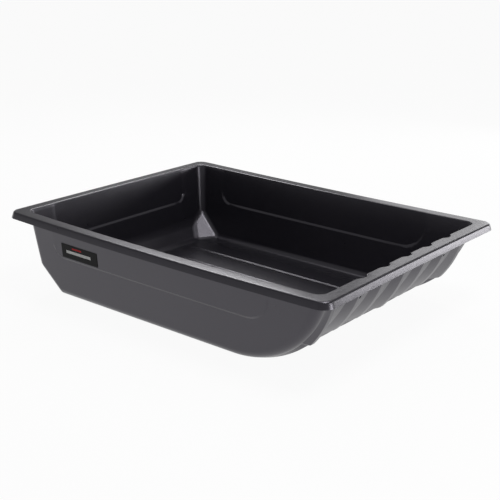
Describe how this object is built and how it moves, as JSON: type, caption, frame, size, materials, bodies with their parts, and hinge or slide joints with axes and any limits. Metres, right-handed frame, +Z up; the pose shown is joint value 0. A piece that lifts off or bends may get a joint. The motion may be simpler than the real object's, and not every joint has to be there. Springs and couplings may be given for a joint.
{
  "type": "ice fishing sled",
  "caption": "Deep one-piece polyethylene tub sled with an upswept ribbed bow, runners under a flat floor and a flanged rim with a skirt.",
  "frame": {"origin": "middle of the sled at the height of the surface it stands on", "axes": "+X forward to the bow, +Y to the left, +Z up out of the tub"},
  "size_m": [1.397, 1.1024, 0.3139],
  "materials": {
    "hull_polyethylene": "satin black moulded polyethylene with a fine grain",
    "label_vinyl": "smooth black vinyl with a plain printed stripe"
  },
  "bodies": {
    "root": {"hull": "hull_polyethylene", "side_label": "label_vinyl"}
  },
  "joints": []
}
